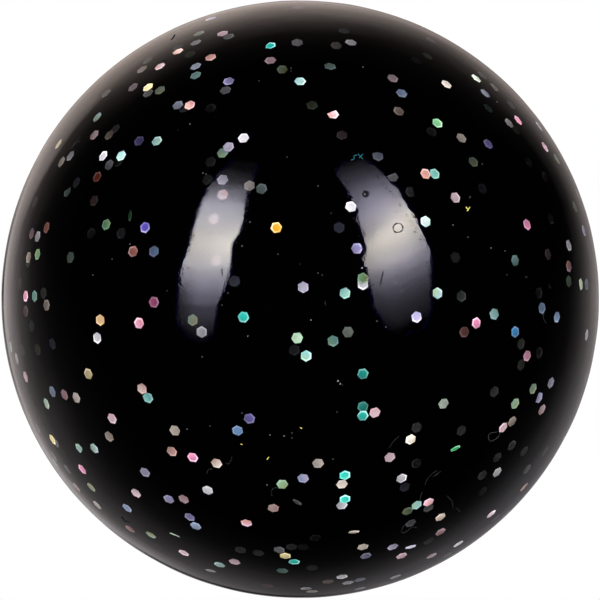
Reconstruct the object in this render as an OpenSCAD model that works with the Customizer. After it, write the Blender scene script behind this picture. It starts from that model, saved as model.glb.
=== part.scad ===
// Glitter bouncy ball: a solid black rubber core in a clear rubber skin, which is moulded as two halves
// round hexagonal foil flakes, so that each flake lies in a close pocket of the skin.
// The origin is the ball's centre. +Z is up and -Y is the front, the side that the flake tables describe.

/* [Ball] */
// Outer diameter of the ball
ball_d = 49; // [27:0.5:60]
// Thickness of the clear skin
skin_t = 2.4; // [2:0.1:4]
// Fine parting clearance between the core and the skin
core_gap = 0.02; // [0.01:0.01:0.1]

/* [Flakes] */
// Depth of the layer next to the core that the flakes are spread through
glitter_depth = 1.1; // [1:0.05:1.5]
// Least rubber between the core and a flake
bed_t = 0.1; // [0.05:0.01:0.12]
// Least rubber between two flakes
flake_gap = 0.08; // [0.05:0.01:0.2]
// Clearance of a pocket all round its flake
pocket_gap = 0.01; // [0.005:0.005:0.02]
// Width of a hexagonal flake across its flats
flake_af = 0.83; // [0.6:0.01:1]
// Thickness of a flake
flake_t = 0.05; // [0.03:0.01:0.08]
// Steepest lean of a flake out of the layer, in degrees
flake_lean = 50; // [0:1:52]

/* [Scatter] */
// Number of flakes strewn at random along the rim of the front
rim_count = 24; // [0:1:60]
// Number of flakes strewn at random over the rear half
rear_count = 290; // [50:10:400]
// Seed of the strewn flakes
scatter_seed = 49; // [1:1:200]

/* [Hidden] */
$fn = 96;

ball_r = ball_d / 2;
skin_inner_r = ball_r - skin_t;
core_r = skin_inner_r - core_gap;
flake_point = flake_af / cos(30);
// How far the corners of a flat flake rise off the sphere that its middle touches
corner_h = pow(flake_point / 2, 2) / (2 * core_r);

// Refractive index of the skin, which makes a flake look further from the middle than it lies
skin_index = 1.52;
full_turn = 360;
// Lean of the flakes that lie calm, and the power that keeps steep ones rare among the strewn flakes
calm_lean_share = 0.15;
lean_power = 6;
// Where the strewn flakes of the rim start in front of the middle, as a share of the radius along Y, and
// the part of the layer that they are spread through, next to the core
rim_start_share = 0.4;
rim_rise_share = 0.3;
// Share of each colour among the strewn flakes, in the order of the glitter nodes
mix_shares = [0.27, 0.12, 0.04, 0.08, 0.13, 0.09, 0.08, 0.10, 0.09];

// Flakes of the front, by colour. A row holds the place to the right and up, as seen from the front, in
// shares of the ball's radius, and the rise through the layer, from 0 at the core to 1. A flake that
// leans has two more: its lean as a share of the steepest, and the way it leans as a share of a turn.
silver_shares = [
    [-0.35, 0.86, 0.5], [-0.24, 0.88, 0.3], [-0.01, 0.86, 0.2, 0.6, 0.28], [-0.25, 0.70, 0.1],
    [-0.51, 0.69, 0.3], [-0.65, 0.69, 0.3], [-0.62, 0.57, 0.1], [-0.19, 0.54, 1.0], [-0.66, 0.48, 1.0],
    [-0.64, 0.45, 0.1], [-0.30, 0.64, 0.0], [-0.30, 0.46, 0.0], [-0.77, 0.48, 0.5], [-0.88, 0.21, 0.6],
    [-0.86, 0.02, 0.2], [0.17, 0.86, 0.7], [0.61, 0.75, 0.2], [0.39, 0.80, 0.1], [0.37, 0.36, 0.0],
    [0.84, 0.27, 0.1], [0.52, 0.14, 0.0], [0.70, 0.59, 0.5], [0.80, 0.58, 0.8],
    [0.31, 0.41, 0.5, 1.0, 0.18], [0.17, 0.31, 1.0], [0.21, 0.05, 0.4], [0.90, 0.18, 0.6],
    [-0.68, -0.13, 0.9], [-0.33, -0.11, 0.5], [-0.95, -0.20, 0.6], [-0.78, -0.57, 0.3],
    [-0.88, -0.43, 0.2], [-0.82, -0.48, 0.4], [-0.31, -0.64, 0.9], [-0.30, -0.91, 0.7, 0.5, 0.22],
    [-0.20, -0.84, 0.1], [-0.07, -0.84, 0.1], [-0.03, -0.83, 0.2], [-0.01, -0.68, 0.3, 1.0, 0.12],
    [0.65, -0.31, 0.1], [0.39, -0.43, 0.1], [0.54, -0.44, 0.1], [0.39, -0.55, 0.1], [0.80, -0.18, 0.1],
    [0.96, -0.12, 0.7], [0.14, -0.69, 0.4], [0.34, -0.60, 0.85], [0.66, -0.58, 0.95],
    [0.61, -0.59, 0.1], [0.66, -0.53, 0.1], [0.71, -0.49, 0.1], [0.75, -0.51, 0.1], [0.76, -0.57, 0.2],
    [0.82, -0.51, 0.1], [0.43, -0.70, 0.2], [0.37, -0.75, 0.2], [0.53, -0.82, 1.0], [0.05, -0.80, 0.0],
    [0.14, -0.93, 0.7], [0.16, -0.95, 0.7], [0.32, -0.93, 0.7], [0.20, -0.97, 0.6], [0.02, -0.97, 0.6]
];
champagne_shares = [
    [-0.53, 0.77, 0.5], [-0.64, 0.55, 0.5], [-0.80, 0.46, 0.4], [-0.17, 0.38, 0.6], [-0.91, 0.14, 0.6],
    [0.12, 0.85, 0.1, 0.6, 0.28], [0.33, 0.63, 0.3], [0.49, 0.72, 1.0], [0.54, 0.54, 0.5],
    [0.65, 0.71, 0.4], [0.93, 0.35, 0.3], [0.33, 0.24, 0.7], [-0.85, -0.02, 0.4], [-0.75, -0.33, 0.9],
    [-0.64, -0.46, 0.4], [-0.42, -0.44, 0.65], [-0.68, -0.69, 0.8], [0.71, -0.41, 0.5],
    [0.06, -0.55, 0.7], [0.14, -0.62, 1.0], [0.47, -0.73, 0.9], [0.18, -0.78, 0.8, 0.8, 0.27],
    [0.04, -0.98, 0.6], [-0.28, -0.55, 0.9], [0.21, -0.83, 0.85]
];
gold_shares = [
    [-0.51, 0.71, 1.0], [-0.81, 0.52, 0.9], [-0.08, 0.24, 1.0], [-0.67, -0.07, 0.9],
    [-0.05, -0.86, 0.95], [-0.83, -0.47, 1.0], [0.37, -0.47, 1.0], [-0.71, -0.25, 0.7]
];
copper_shares = [
    [-0.41, 0.83, 1.0], [-0.30, 0.81, 0.9], [-0.37, 0.65, 1.0], [-0.68, 0.41, 0.3], [-0.29, 0.27, 0.7],
    [-0.28, 0.13, 0.2], [-0.69, 0.33, 0.1], [-0.56, 0.16, 0.5], [-0.85, 0.24, 0.5], [0.42, 0.42, 0.9],
    [0.83, 0.15, 0.3], [0.82, 0.41, 0.0], [-0.53, -0.30, 0.95], [-0.43, -0.51, 0.8],
    [-0.75, -0.63, 0.65], [-0.09, -0.70, 0.7], [-0.57, -0.77, 0.6], [-0.11, -0.96, 0.2],
    [0.55, -0.11, 0.35], [0.75, -0.63, 0.8]
];
pink_shares = [
    [-0.26, 0.89, 0.8], [-0.47, 0.78, 0.9], [-0.10, 0.80, 0.7], [-0.56, 0.71, 0.4], [-0.69, 0.55, 0.4],
    [-0.26, 0.35, 0.7], [-0.90, 0.22, 0.4], [-0.92, 0.01, 1.0], [0.11, 0.62, 1.0],
    [0.14, 0.55, 0.2, 1.0, 0.24], [0.31, 0.74, 0.4], [0.73, 0.60, 1.0], [0.82, 0.51, 1.0],
    [0.52, 0.34, 0.7], [0.76, 0.25, 0.9], [0.90, 0.11, 0.4], [-0.92, -0.04, 0.2], [-0.49, -0.01, 0.5],
    [-0.54, -0.08, 1.0], [-0.79, -0.32, 0.5], [-0.92, -0.26, 0.8], [-0.63, -0.40, 1.0],
    [-0.36, -0.53, 1.0], [-0.55, -0.65, 0.9], [-0.39, -0.67, 0.65], [-0.18, -0.75, 1.0],
    [-0.39, -0.85, 1.0], [-0.22, -0.88, 0.85], [0.25, -0.38, 0.6], [0.59, -0.08, 1.0],
    [0.76, -0.19, 0.9], [0.81, -0.37, 0.6], [0.68, -0.43, 0.8], [0.30, -0.53, 0.8], [0.64, -0.72, 1.0],
    [0.43, -0.68, 1.0], [0.47, -0.78, 0.6], [0.34, -0.86, 0.9], [0.44, -0.86, 0.75], [-0.73, -0.57, 0.8]
];
violet_shares = [
    [-0.24, 0.73, 0.8], [-0.54, 0.53, 0.3], [-0.24, 0.51, 0.7], [-0.26, 0.40, 0.5], [-0.52, 0.24, 0.8],
    [0.01, 0.04, 0.8], [0.63, 0.52, 0.5], [0.19, 0.17, 0.7], [0.95, 0.23, 0.7], [-0.02, -0.17, 0.0],
    [-0.17, -0.40, 0.6], [-0.52, -0.58, 0.6], [-0.44, -0.67, 0.7], [-0.37, -0.73, 0.5],
    [0.39, -0.06, 1.0], [0.84, -0.28, 0.6], [0.80, -0.33, 0.6], [0.01, -0.60, 0.8], [0.22, -0.86, 0.5],
    [0.31, -0.83, 0.8], [0.37, -0.83, 0.8, 0.6, 0.30], [0.04, -0.90, 0.1]
];
blue_shares = [
    [-0.30, 0.94, 1.0], [-0.35, 0.78, 0.6], [-0.41, 0.65, 0.6], [-0.39, 0.64, 0.1], [-0.75, 0.39, 0.2],
    [-0.49, 0.16, 0.5], [-0.70, 0.22, 0.0], [-0.60, 0.22, 0.0], [-0.22, 0.06, 0.1], [0.34, 0.69, 0.6],
    [0.44, 0.56, 0.0], [0.62, 0.69, 0.6], [0.61, 0.37, 0.0], [0.26, 0.48, 0.4], [0.13, 0.24, 0.0],
    [0.80, 0.02, 0.1], [0.96, 0.05, 0.4], [-0.83, -0.15, 0.1], [-0.83, -0.31, 0.4], [-0.21, -0.44, 0.8],
    [-0.58, -0.70, 0.8], [-0.35, -0.76, 0.8], [0.72, -0.11, 0.8], [0.81, -0.03, 0.5],
    [0.86, -0.06, 0.5], [0.35, -0.63, 0.1], [0.20, -0.94, 0.5]
];
aqua_shares = [
    [-0.35, 0.75, 0.5], [-0.10, 0.85, 1.0], [0.00, 0.73, 1.0], [-0.68, 0.61, 0.5], [-0.48, 0.53, 0.8],
    [-0.26, 0.49, 0.1], [-0.60, 0.48, 1.0], [-0.78, 0.36, 0.2], [-0.13, 0.37, 0.2], [-0.77, 0.14, 0.2],
    [-0.89, 0.01, 0.9], [0.10, 0.78, 0.3], [0.63, 0.64, 0.1], [0.45, 0.42, 0.5], [0.72, 0.13, 0.4],
    [0.15, 0.02, 0.9], [0.54, 0.01, 0.1], [-0.97, -0.16, 0.7], [-0.90, -0.09, 0.1], [-0.19, -0.06, 1.0],
    [-0.51, -0.33, 0.6], [-0.74, -0.50, 0.6], [-0.69, -0.50, 0.8], [-0.27, -0.89, 0.85],
    [-0.02, -0.88, 0.55], [-0.06, -0.91, 0.4], [-0.82, -0.55, 0.5], [0.02, -0.19, 1.0],
    [0.11, -0.14, 0.5], [0.21, -0.25, 0.7], [0.21, -0.36, 0.6], [0.65, -0.05, 0.6], [0.15, -0.59, 0.65],
    [0.15, -0.67, 0.85], [0.39, -0.69, 0.6], [0.01, -0.83, 0.6], [0.42, 0.26, 1.0], [0.46, 0.02, 0.9],
    [0.21, -0.39, 1.0]
];
green_shares = [
    [-0.34, 0.89, 0.5], [-0.51, 0.80, 0.2], [-0.06, 0.77, 0.2, 0.9, 0.18], [-0.47, 0.70, 0.2],
    [-0.37, 0.82, 0.1], [-0.61, 0.46, 0.5], [-0.31, 0.40, 0.0], [-0.65, 0.25, 0.6],
    [-0.57, 0.28, 0.3, 1.0, 0.02], [-0.88, 0.15, 0.8], [0.04, 0.65, 0.1], [0.46, 0.59, 1.0],
    [0.59, 0.74, 1.0], [0.58, 0.46, 0.2], [0.86, 0.47, 0.5], [0.21, 0.07, 1.0], [0.90, 0.06, 0.2],
    [0.94, 0.05, 0.7], [0.92, 0.31, 0.3], [-0.36, -0.07, 0.4], [-0.01, -0.13, 0.9], [-0.88, -0.17, 0.1],
    [-0.93, -0.17, 0.1], [-0.85, -0.35, 0.7], [-0.70, -0.63, 0.5], [-0.06, -0.62, 0.9],
    [-0.50, -0.79, 0.8], [-0.42, -0.79, 0.3, 0.9, 0.14], [-0.14, -0.85, 0.2], [0.16, -0.11, 0.3],
    [0.74, -0.15, 0.1], [0.74, -0.22, 0.1], [0.78, -0.30, 0.4], [0.72, -0.35, 0.7], [0.48, -0.35, 0.7],
    [0.52, -0.50, 0.8, 0.9, 0.32], [0.36, -0.71, 0.2], [0.69, -0.72, 0.6], [0.43, -0.81, 0.1]
];
colour_shares = [silver_shares, champagne_shares, gold_shares, copper_shares, pink_shares,
                 violet_shares, blue_shares, aqua_shares, green_shares];

// Half the height that a flake takes up in the layer, and the radius of its middle
function half_h(lean) = (flake_point * sin(lean) + flake_t * cos(lean)) / 2;
function middle_r(rise, lean) =
    skin_inner_r + bed_t + half_h(lean) + rise * (glitter_depth - bed_t - corner_h - 2 * half_h(lean));

// Where a flake at radius r lies that is seen at the share b of the ball's radius, as an angle from the
// front pole: the ray enters the skin, bends towards the ball's middle and meets the flake
function seat_angle(b, r) = asin(b) - asin(b / skin_index) + asin(b * ball_r / (skin_index * r));
function seen_way(x, z, r) =
    let (b = norm([x, z]), a = seat_angle(b, r), s = b > 0 ? sin(a) / b : 0) [s * x, -cos(a), s * z];

// Directions spread evenly over the band of the ball between two shares of the radius along Y
function strewn_ways(count, start_share, end_share, seed) =
    let (y = rands(start_share, end_share, count, seed), turn = rands(0, full_turn, count, seed + count))
    [for (i = [0 : 1 : count - 1])
        let (r = sqrt(1 - y[i] * y[i])) [r * cos(turn[i]), y[i], r * sin(turn[i])]];

// Colour whose stretch of the mix holds the number pick, from 0 to 1
function mix_colour(pick, colour = 0) =
    colour == len(mix_shares) - 1 || pick < mix_shares[colour] ? colour
    : mix_colour(pick - mix_shares[colour], colour + 1);

// Every flake as [direction, radius of its middle, lean, way that it leans, colour]
rows = [for (colour = [0 : len(colour_shares) - 1]) for (row = colour_shares[colour]) [row, colour]];
strewn = concat(strewn_ways(rim_count, -rim_start_share, 0, scatter_seed),
                strewn_ways(rear_count, 0, 1, scatter_seed + 1));
flake_count = len(rows) + len(strewn);
chance = [for (i = [0 : 4]) rands(0, 1, flake_count, scatter_seed + 2 + i)];
front_flakes = [for (i = [0 : len(rows) - 1])
    let (row = rows[i][0],
         lean = flake_lean * (len(row) > 3 ? row[3] : calm_lean_share * chance[0][i]),
         r = middle_r(row[2], lean))
    [seen_way(row[0], row[1], r), r, lean, full_turn * (len(row) > 4 ? row[4] : chance[1][i]), rows[i][1]]];
strewn_flakes = [for (i = [0 : 1 : len(strewn) - 1])
    let (lean = flake_lean * pow(chance[0][i + len(rows)], lean_power),
         rise = chance[2][i] * (i < rim_count ? rim_rise_share : 1))
    [strewn[i], middle_r(rise, lean), lean, full_turn * chance[1][i + len(rows)],
     mix_colour(chance[3][i])]];
all_flakes = concat(front_flakes, strewn_flakes);

// Two flakes crowd each other when they are neither side by side nor one over the other
function crowds(a, b) =
    norm(a[0] - b[0]) * core_r < flake_point + flake_gap
    && abs(a[1] - b[1]) < half_h(a[2]) + half_h(b[2]) + corner_h + flake_gap;

// A flake has a place if no earlier one crowds it, and one without a place is left out
places = [for (i = [0 : flake_count - 1])
    if (len([for (j = [0 : 1 : i - 1]) if (crowds(all_flakes[i], all_flakes[j])) j]) == 0) i];

// Solid ball of black rubber
module core() {
    color("#0a0a0b") sphere(r = core_r);
}

// A hexagonal flake of foil at its place, or its pocket when grow adds a clearance all round it
module flake(i, grow = 0) {
    way = all_flakes[i][0];
    rotate([0, acos(way[2]), atan2(way[1], way[0])]) translate([0, 0, all_flakes[i][1]])
        rotate([0, 0, all_flakes[i][3]]) rotate([all_flakes[i][2], 0, 0])
        rotate([0, 0, full_turn * chance[4][i]])
        cylinder(d = flake_point + 2 * grow, h = flake_t + 2 * grow, center = true, $fn = 6);
}

// All flakes of one colour
module glitter(colour) {
    for (i = places) if (all_flakes[i][4] == colour) flake(i);
}

// Half of the clear skin with its flake pockets. side is -1 for the front half and 1 for the rear half
module skin_half(side) {
    color("#dfe3e6", 0.3) difference() {
        sphere(r = ball_r);
        sphere(r = skin_inner_r);
        for (i = places)
            if (side * all_flakes[i][0][1] * core_r > -flake_point) flake(i, pocket_gap);
        translate([-ball_r, side > 0 ? -2 * ball_r : 0, -ball_r]) cube(2 * ball_r);
    }
}

module front_skin() { skin_half(-1); }
module rear_skin() { skin_half(1); }
module silver_glitter() { color("#c9ccd1") glitter(0); }
module champagne_glitter() { color("#c4b696") glitter(1); }
module gold_glitter() { color("#f0b63a") glitter(2); }
module copper_glitter() { color("#e08a63") glitter(3); }
module pink_glitter() { color("#e88bb0") glitter(4); }
module violet_glitter() { color("#9a8fd6") glitter(5); }
module blue_glitter() { color("#7fa0d8") glitter(6); }
module aqua_glitter() { color("#5fc9c4") glitter(7); }
module green_glitter() { color("#7fcf9b") glitter(8); }

core();
front_skin();
rear_skin();
silver_glitter();
champagne_glitter();
gold_glitter();
copper_glitter();
pink_glitter();
violet_glitter();
blue_glitter();
aqua_glitter();
green_glitter();
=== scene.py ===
# %% [markdown]
# # A glitter bouncy ball
# The object is a high-bounce ball, 49 mm across: a core of black rubber, hexagonal flakes of foil lying
# at different depths, and a thick skin of clear rubber moulded round them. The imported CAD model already
# holds every flake at its place. Blender's work is the finish: the wet-looking clear skin, the foil,
# and a small photo studio, because a glossy black ball shows little but the studio that it reflects.

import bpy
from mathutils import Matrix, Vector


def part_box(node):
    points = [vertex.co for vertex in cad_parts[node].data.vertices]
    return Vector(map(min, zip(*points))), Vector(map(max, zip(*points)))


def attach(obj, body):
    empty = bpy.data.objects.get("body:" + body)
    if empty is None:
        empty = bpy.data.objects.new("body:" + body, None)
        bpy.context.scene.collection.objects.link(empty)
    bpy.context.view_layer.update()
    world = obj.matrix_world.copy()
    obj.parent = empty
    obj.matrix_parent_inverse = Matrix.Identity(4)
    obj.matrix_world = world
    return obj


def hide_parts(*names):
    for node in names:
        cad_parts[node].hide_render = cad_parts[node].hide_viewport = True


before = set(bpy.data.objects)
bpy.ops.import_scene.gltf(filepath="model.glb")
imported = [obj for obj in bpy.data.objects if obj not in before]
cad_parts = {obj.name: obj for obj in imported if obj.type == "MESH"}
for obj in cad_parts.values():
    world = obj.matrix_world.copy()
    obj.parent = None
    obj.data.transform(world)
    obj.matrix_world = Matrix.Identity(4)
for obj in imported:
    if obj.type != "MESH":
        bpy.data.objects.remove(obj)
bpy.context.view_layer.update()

import math
import random

import bmesh
import bpy
import numpy as np
from mathutils import Matrix, Vector, noise

MM = 0.001
print("CAD nodes:", ", ".join(sorted(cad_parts)))

# %% [markdown]
# ## Sizes of the ball
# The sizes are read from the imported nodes, so nothing is fitted by eye: the outer radius from the skin,
# the inner one from the core. The front of the ball faces -Y and up is +Z.

# %% Read the sizes
ball_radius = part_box("front_skin")[1].z
core_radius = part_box("core")[1].z
skin_gap = 0.02 * MM
skin_inner_radius = core_radius + skin_gap
print(f"ball radius {ball_radius / MM:.2f} mm, core radius {core_radius / MM:.2f} mm")

# %% [markdown]
# ## The camera
# The photograph looks at the ball level with its middle, from so far that the outline is a plain
# circle that nearly fills the frame. A camera with parallel rays shows exactly that. Its scale is the
# width of the frame in metres, which follows from the radius of the outline in pixels. The small shift
# puts the middle of the ball where the photograph has it.

# %% Place the camera
frame_px = 600
middle_px = (300.2, 299.2)
outline_px = 298.5
camera_distance = 0.5

metres_per_px = ball_radius / outline_px
camera_data = bpy.data.cameras.new("camera")
camera_data.type = "ORTHO"
camera_data.ortho_scale = frame_px * metres_per_px
camera_data.shift_x = (frame_px / 2 - middle_px[0]) / frame_px
camera_data.shift_y = (middle_px[1] - frame_px / 2) / frame_px
camera = bpy.data.objects.new("camera", camera_data)
camera.location = (0, -camera_distance, 0)
camera.rotation_euler = (math.radians(90), 0, 0)
bpy.context.collection.objects.link(camera)
bpy.context.scene.camera = camera
bpy.context.scene.view_settings.view_transform = "Standard"
print(f"the frame is {camera_data.ortho_scale / MM:.2f} mm wide")

# %% [markdown]
# ## Writing shader maths as sums
# A material is a network of nodes, and networks that do arithmetic are hard to read. The class below
# wraps one socket. Adding or multiplying two wires adds the Math node that does it, and `node` adds any
# other node from its type, its settings and what its sockets hold. So a finish reads like a formula.

# %% A wire that does arithmetic
class Wire:
    """A socket in a node tree: sums and products of wires add their Math nodes."""

    def __init__(self, tree, socket=None):
        self.tree, self.socket = tree, socket

    def node(self, kind, settings=None, sockets=None, out=0):
        """Adds a node, sets its settings, then the values or links of its sockets."""
        made = self.tree.nodes.new(kind)
        for name, value in (settings or {}).items():
            if name == "stops":
                ramp = made.color_ramp
                while len(ramp.elements) < len(value):
                    ramp.elements.new(1)
                for stop, (place, colour) in zip(ramp.elements, value):
                    stop.position, stop.color = place, (*colour, 1)
            else:
                setattr(made, name, value)
        for key, value in (sockets or {}).items():
            if isinstance(value, Wire):
                self.tree.links.new(value.socket, made.inputs[key])
            else:
                made.inputs[key].default_value = value
        return Wire(self.tree, made.outputs[out] if made.outputs else None)

    def maths(self, operation, first, second=0.0):
        return self.node("ShaderNodeMath", {"operation": operation}, {0: first, 1: second})

    def __add__(self, other): return self.maths("ADD", self, other)
    def __radd__(self, other): return self.maths("ADD", other, self)
    def __sub__(self, other): return self.maths("SUBTRACT", self, other)
    def __rsub__(self, other): return self.maths("SUBTRACT", other, self)
    def __mul__(self, other): return self.maths("MULTIPLY", self, other)
    def __rmul__(self, other): return self.maths("MULTIPLY", other, self)
    def __truediv__(self, other): return self.maths("DIVIDE", self, other)
    def __rtruediv__(self, other): return self.maths("DIVIDE", other, self)

    def dot(self, direction):
        """How far this vector reaches along a direction."""
        return self.node("ShaderNodeVectorMath", {"operation": "DOT_PRODUCT"},
                         {0: self, 1: direction}, "Value")

    def ramp(self, *stops):
        """A colour, or with grey stops a value, that changes with this wire from 0 to 1."""
        return self.node("ShaderNodeValToRGB", {"stops": stops}, {0: self})

    def tint(self, first, second):
        """The first colour where this mask is 0 and the second where it is 1."""
        return self.node("ShaderNodeMix", {"data_type": "RGBA"}, {0: self, 6: first, 7: second}, 2)


# %% Helpers for finishes
def grey(value):
    """A grey stop for a ramp."""
    return (value, value, value)


def ink(code):
    """The linear colour of a hex code such as '#f5aac8'."""
    parts = [int(code[i:i + 2], 16) / 255 for i in (1, 3, 5)]
    return tuple(p / 12.92 if p <= 0.04045 else ((p + 0.055) / 1.055) ** 2.4 for p in parts)


def new_finish(name):
    """A material with an empty tree, and a wire to start from."""
    finish = bpy.data.materials.new(name)
    finish.use_nodes = True
    finish.node_tree.nodes.clear()
    return finish, Wire(finish.node_tree)


def give_surface(start, shader):
    """Links a shader to the tree's output."""
    start.node("ShaderNodeOutputMaterial", None, {"Surface": shader})


# %% [markdown]
# ## The studio room
# A glossy black ball shows the room that it stands in. Its rim, where the skin mirrors what lies behind
# the ball, shows two things: a wide dim sweep all round, and a paler wall behind the upper left. The wall
# ends in a fairly sharp edge at the upper left and fades softly elsewhere. Each is a curve over the angle
# from straight behind, and its strength and width change with the turn round the view axis, from 0 at the
# right over 90 at the top. Straight behind, where the curves of all turns meet, they blend into one level.
# The camera itself sees plain white behind the ball.

# %% A curve round the view axis
world = bpy.data.worlds.new("studio room")
bpy.context.scene.world = world
world.use_nodes = True
world.node_tree.nodes.clear()
room = Wire(world.node_tree)

way = room.node("ShaderNodeTexCoord", out="Generated")
right, up = way.dot((1, 0, 0)), way.dot((0, 0, 1))
behind = room.maths("ARCCOSINE", way.dot((0, 1, 0))) * (180 / math.pi)
turn_start = 300
turn_share = room.maths("FRACT", room.maths("ARCTAN2", up, right) / (2 * math.pi) + 1 - turn_start / 360)


def round_axis(*points):
    """A value that changes with the turn round the view axis, through (degrees, value) points."""
    stops = sorted(((degrees - turn_start) % 360 / 360, value) for degrees, value in points)
    first, last = stops[0], stops[-1]
    gap = first[0] + 1 - last[0]
    seam = last[1] + (first[1] - last[1]) * (1 - last[0]) / gap
    stops = [(0, seam), *stops, (1, seam)]
    top = max(value for _, value in stops)
    return turn_share.ramp(*[(place, grey(value / top)) for place, value in stops]) * top


def fade(share, *points):
    """A falling curve over an angle given as a share of full_share."""
    return (share * (1 / full_share)).ramp(*[(place / full_share, grey(value)) for place, value in points])


full_share = 2.5

# %% Light the room
wall_level = round_axis((0, 0.26), (20, 0.29), (45, 0.31), (60, 0.27), (72, 0.37), (82, 0.47), (100, 0.51),
                        (125, 0.46), (140, 0.52), (165, 0.62), (180, 0.64), (200, 0.45), (218, 0.42),
                        (238, 0.34), (250, 0.06), (268, 0.0), (320, 0.0), (348, 0.17))
wall_edge = round_axis((0, 32), (20, 27), (45, 29), (60, 26), (75, 32), (105, 35), (125, 38), (150, 36.5),
                       (165, 31), (185, 32), (205, 27), (220, 23), (240, 24))
wall_sharp = round_axis((0, 0), (125, 0), (138, 1), (155, 1), (166, 0.3), (178, 0))
sweep_level = round_axis((0, 0.13), (12, 0.05), (25, 0.02), (45, 0.09), (62, 0.12), (75, 0.12), (88, 0.24),
                         (110, 0.27), (125, 0.22), (140, 0.11), (165, 0.10), (180, 0.22), (205, 0.26),
                         (225, 0.22), (250, 0.21), (270, 0.13), (285, 0.17), (300, 0.2), (330, 0.19))
sweep_width = round_axis((0, 0.92), (20, 0.75), (45, 0.98), (62, 1.0), (120, 1.0), (150, 1.0), (205, 1.25),
                         (235, 1.15), (270, 1.0), (330, 1.0))
limb_shade = round_axis((0, 1), (150, 1), (163, 0.4), (178, 0.05), (195, 0.35), (210, 1), (228, 1),
                        (240, 0.2), (255, 0.03), (270, 0.12), (283, 0.8), (300, 1))
mottle = 0.45
pole_level = 0.25
room_fill = 0.3
warm, cool = ink("#ffebe1"), ink("#faf5fc")

# %% [markdown]
# Now the curves are added up. The edge of the wall is a mix of a soft and a hard fall, and faint clouds
# keep the mirror image from looking printed. Light Path tells rays apart: the camera gets white paper,
# mirror rays get the wall and the sweep, and the light on the foil gets a plain fill besides.

# %% Add up the room
wall_share = behind / wall_edge
soft_wall = fade(wall_share, (0, 1), (0.55, 0.97), (0.75, 0.84), (0.95, 0.56), (1.1, 0.36), (1.3, 0.14),
                 (1.6, 0))
hard_wall = fade(wall_share, (0, 1), (0.8, 0.97), (0.93, 0.86), (0.97, 0.72), (1.05, 0.12), (1.3, 0.03),
                 (1.6, 0))
sweep_fade = fade(behind * (1 / 30) / sweep_width, (0, 1), (1, 0.97), (1.2, 0.8), (1.4, 0.6), (1.55, 0.42),
                  (1.7, 0.26), (1.85, 0.16), (2.05, 0.09), (2.25, 0.04), (2.5, 0))
cloudy = room.node("ShaderNodeTexNoise", None, {"Vector": way, "Scale": 6.0, "Detail": 4.0})
patchy = 1 - mottle / 2 + mottle * cloudy
near_pole = behind * (1 / 20)
limb = near_pole.ramp((0, grey(0)), (0.56, grey(0)), (0.74, grey(1)))
shaded = limb + limb_shade - limb * limb_shade
curves = (wall_level * (soft_wall + wall_sharp * (hard_wall - soft_wall))
          + sweep_level * sweep_fade) * patchy * shaded
off_pole = near_pole.ramp((0, grey(0)), (0.2, grey(0.12)), (0.46, grey(1)))
sweep = pole_level + off_pole * (curves - pole_level)
path = room.node("ShaderNodeLightPath")
rays = {name: Wire(room.tree, path.socket.node.outputs[name])
        for name in ("Is Camera Ray", "Is Glossy Ray", "Is Transmission Ray")}
mirrored = rays["Is Glossy Ray"] + rays["Is Transmission Ray"]
warmth = round_axis((0, 0.5), (60, 0.9), (130, 1), (180, 0.5), (230, 0.3), (320, 0.0))
paper = warmth.tint((*cool, 1), (*warm, 1))
seen = room.node("ShaderNodeVectorMath", {"operation": "SCALE"},
                 {0: paper, "Scale": sweep + room_fill * (1 - mirrored)})
plain = rays["Is Camera Ray"].tint(seen, (1, 1, 1, 1))
background = room.node("ShaderNodeBackground", None, {"Color": plain})
room.node("ShaderNodeOutputWorld", None, {"Surface": background})
print("the room has a wall and a sweep behind the ball")

# %% [markdown]
# ## Two softboxes
# The two bright banana shapes on the ball are the mirror images of two tall softboxes that stand in
# front of it, left and right. Their outlines are written as angles round the ball, measured where the
# skin mirrors them, row by row: height, inner side and outer side. Area lamps are rectangles only, so
# each softbox is a curved mesh that glows. Its brightness is a colour attribute, worked out per vertex:
# cloth at the top is dim, the middle is bright and the foot fades.

# %% Shape the softboxes
softbox_distance = 1.2
left_outline = ((-15.5, -39.5, -40.5), (-12.6, -35, -45), (-8, -33.3, -48), (-1.5, -32.3, -47.5),
                (3.5, -29.9, -47.1), (10.5, -27.6, -46.7), (17.5, -27.3, -45.4), (24, -25.8, -44.5),
                (30, -24.6, -44.8), (39.4, -25.1, -44.5), (46, -23.8, -42.3), (52.5, -25.6, -38.3))
right_outline = ((-12.5, 39.5, 40.5), (-10.3, 34.2, 47.5), (-5.6, 30.6, 50.3), (-3, 28.9, 51),
                 (3, 27.4, 51.1), (10.5, 26.1, 51.4), (15.4, 25.1, 51.9), (18.5, 26.3, 51.9),
                 (23, 26.3, 51.2), (28.5, 24.6, 49.8), (34, 25.3, 48.5), (38, 24.5, 47.5),
                 (43.5, 22.6, 44.5), (49, 19.5, 42), (53.6, 26.4, 35.7))

# %% Build a glowing panel
fringe_width, fringe_gap = 1.6, 0.25
fringe_colour = (0.002, 0.002, 0.022)


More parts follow.
